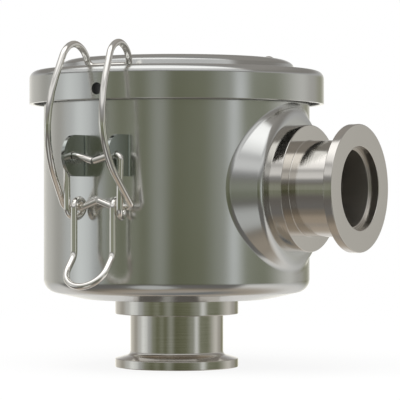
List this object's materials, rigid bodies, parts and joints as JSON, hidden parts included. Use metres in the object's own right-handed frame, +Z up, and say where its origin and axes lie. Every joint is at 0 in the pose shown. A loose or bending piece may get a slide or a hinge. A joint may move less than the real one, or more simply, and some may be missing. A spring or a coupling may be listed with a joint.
{
  "type": "vacuum line filter",
  "caption": "Cylindrical vacuum line filter with a lid held by wire toggle latches, small clamp-flange ports on its side and bottom, and a pleated cartridge inside.",
  "frame": {"origin": "centre of the outlet flange's outer face, at the bottom", "axes": "+Z up along the canister's axis, +X along the inlet port's axis, -Y towards the front latch"},
  "size_m": [0.114, 0.1218, 0.1032],
  "materials": {
    "polished_steel": "polished",
    "turned_steel": "turned",
    "wire": "polished",
    "rubber": "matte",
    "plated_sheet": "plain",
    "paper": "matte"
  },
  "bodies": {
    "housing": {"canister": "polished_steel", "lid": "polished_steel", "lid_gasket": "rubber", "inlet_port": "turned_steel", "outlet_port": "turned_steel", "front_ear_left": "polished_steel", "front_ear_right": "polished_steel", "rear_ear_left": "polished_steel", "rear_ear_right": "polished_steel", "element_seat": "turned_steel", "bottom_seal": "rubber", "bottom_cap": "plated_sheet", "top_cap": "plated_sheet", "core_tube": "plated_sheet", "pleated_media": "paper", "outer_guard": "plated_sheet", "hold_down_spring": "plated_sheet"},
    "front_lever": {"front_lever": "wire"},
    "front_bail": {"front_bail": "wire"},
    "rear_lever": {"rear_lever": "wire"},
    "rear_bail": {"rear_bail": "wire"}
  },
  "joints": [
    {"name": "front_lever_turn", "type": "hinge", "parent": "housing", "child": "front_lever", "pos_m": [0, -0.0496, 0.06775], "axis": [-1, 0, 0], "range_deg": [0, 120]},
    {"name": "front_bail_turn", "type": "hinge", "parent": "front_lever", "child": "front_bail", "pos_m": [0, -0.04685, 0.05185], "axis": [1, 0, 0], "range_deg": [0, 82.2]},
    {"name": "rear_lever_turn", "type": "hinge", "parent": "housing", "child": "rear_lever", "pos_m": [0, 0.0496, 0.06775], "axis": [1, 0, 0], "range_deg": [0, 120]},
    {"name": "rear_bail_turn", "type": "hinge", "parent": "rear_lever", "child": "rear_bail", "pos_m": [0, 0.04685, 0.05185], "axis": [-1, 0, 0], "range_deg": [0, 82.2]}
  ],
  "couplings": [
    {"joint": "front_bail_turn", "follows": "front_lever_turn", "ratio": 0.685},
    {"joint": "rear_bail_turn", "follows": "rear_lever_turn", "ratio": 0.685}
  ]
}
